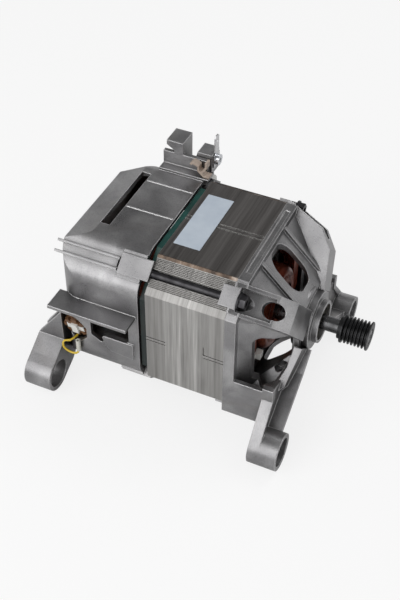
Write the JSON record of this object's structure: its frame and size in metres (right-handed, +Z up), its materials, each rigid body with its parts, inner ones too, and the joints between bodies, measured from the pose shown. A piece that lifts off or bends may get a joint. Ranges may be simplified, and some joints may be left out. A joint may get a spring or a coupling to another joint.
{
  "type": "washing machine motor",
  "caption": "Brushed universal motor with ribbed belt pulley, laminated stator between two cast end shields, four mounting lugs, carbon brushes and tacho generator.",
  "frame": {"origin": "on the shaft axis, in the middle of the belt grooves", "axes": "+X along the shaft towards the belt end, +Z up, away from the mounting lugs, +Y across to the side of the terminal block"},
  "size_m": [0.2124, 0.1656, 0.1469],
  "materials": {
    "cast_aluminium": "satin cast",
    "laminated_steel": "ground laminations",
    "green_insulator": "moulded",
    "enamelled_copper": "enamelled wire",
    "dark_steel": "phosphated",
    "label_film": "blank printed film",
    "bearing_steel": "ground",
    "cage_plastic": "moulded nylon",
    "spring_steel": "spring temper",
    "brown_phenolic": "moulded phenolic",
    "white_plastic": "moulded",
    "carbon": "pressed graphite",
    "black_plastic": "moulded",
    "ferrite": "sintered ferrite",
    "tinned_steel": "tinned",
    "zinc_plated": "zinc plated",
    "beige_plastic": "moulded",
    "yellow_insulation": "extruded",
    "clear_sleeve": "extruded",
    "shaft_steel": "turned and oiled",
    "black_steel": "blackened",
    "rotor_steel": "laminated",
    "wedge_fibre": "fibre",
    "copper": "turned copper"
  },
  "bodies": {
    "stator": {"front_end_shield": "cast_aluminium", "rear_end_shield": "cast_aluminium", "stator_core": "laminated_steel", "front_coil_insulator": "green_insulator", "rear_coil_insulator": "green_insulator", "field_coil_right": "enamelled_copper", "field_coil_left": "enamelled_copper", "through_bolts": "dark_steel", "rating_label": "label_film", "front_bearing_outer_ring": "bearing_steel", "rear_bearing_outer_ring": "bearing_steel", "bearing_wave_spring": "spring_steel", "brush_holder_left": "brown_phenolic", "brush_holder_right": "brown_phenolic", "brush_cap_left": "white_plastic", "brush_cap_right": "white_plastic", "brush_spring_left": "spring_steel", "brush_spring_right": "spring_steel", "tacho_coil": "black_plastic", "tacho_cover": "black_plastic", "earth_terminal": "tinned_steel", "earth_screw": "zinc_plated", "wire_clip": "beige_plastic", "cable_tie": "white_plastic", "yellow_lead": "yellow_insulation", "lead_sleeve": "clear_sleeve", "terminal_block": "white_plastic", "terminal_pins": "tinned_steel", "thermal_protector": "black_plastic"},
    "rotor": {"shaft": "shaft_steel", "shaft_circlip": "spring_steel", "belt_pulley": "black_steel", "armature_core": "rotor_steel", "armature_winding": "enamelled_copper", "slot_wedges": "wedge_fibre", "commutator_bars": "copper", "commutator_hub": "brown_phenolic", "tacho_magnet": "ferrite", "front_bearing_inner_ring": "bearing_steel", "rear_bearing_inner_ring": "bearing_steel"},
    "front_ball_set": {"front_bearing_balls": "bearing_steel", "front_bearing_cage": "cage_plastic"},
    "rear_ball_set": {"rear_bearing_balls": "bearing_steel", "rear_bearing_cage": "cage_plastic"},
    "left_brush": {"carbon_brush_left": "carbon"},
    "right_brush": {"carbon_brush_right": "carbon"}
  },
  "joints": [
    {"name": "rotor_spin", "type": "hinge", "parent": "stator", "child": "rotor", "pos_m": [-0.0939, 0, 0], "axis": [1, 0, 0], "continuous": true},
    {"name": "front_ball_set_spin", "type": "hinge", "parent": "stator", "child": "front_ball_set", "pos_m": [-0.0315, 0, 0], "axis": [1, 0, 0], "continuous": true},
    {"name": "rear_ball_set_spin", "type": "hinge", "parent": "stator", "child": "rear_ball_set", "pos_m": [-0.1889, 0, 0], "axis": [1, 0, 0], "continuous": true},
    {"name": "left_brush_slide", "type": "slide", "parent": "stator", "child": "left_brush", "axis": [0, -0.9659, -0.2588], "range_m": [0, 0.008], "stiffness_N_per_m": 60, "springref_m": -0.04, "deforming": ["brush_spring_left"]},
    {"name": "right_brush_slide", "type": "slide", "parent": "stator", "child": "right_brush", "axis": [0, 0.9659, 0.2588], "range_m": [0, 0.008], "stiffness_N_per_m": 60, "springref_m": -0.04, "deforming": ["brush_spring_right"]}
  ],
  "couplings": [
    {"joint": "front_ball_set_spin", "follows": "rotor_spin", "ratio": 0.36591},
    {"joint": "rear_ball_set_spin", "follows": "rotor_spin", "ratio": 0.36667}
  ]
}
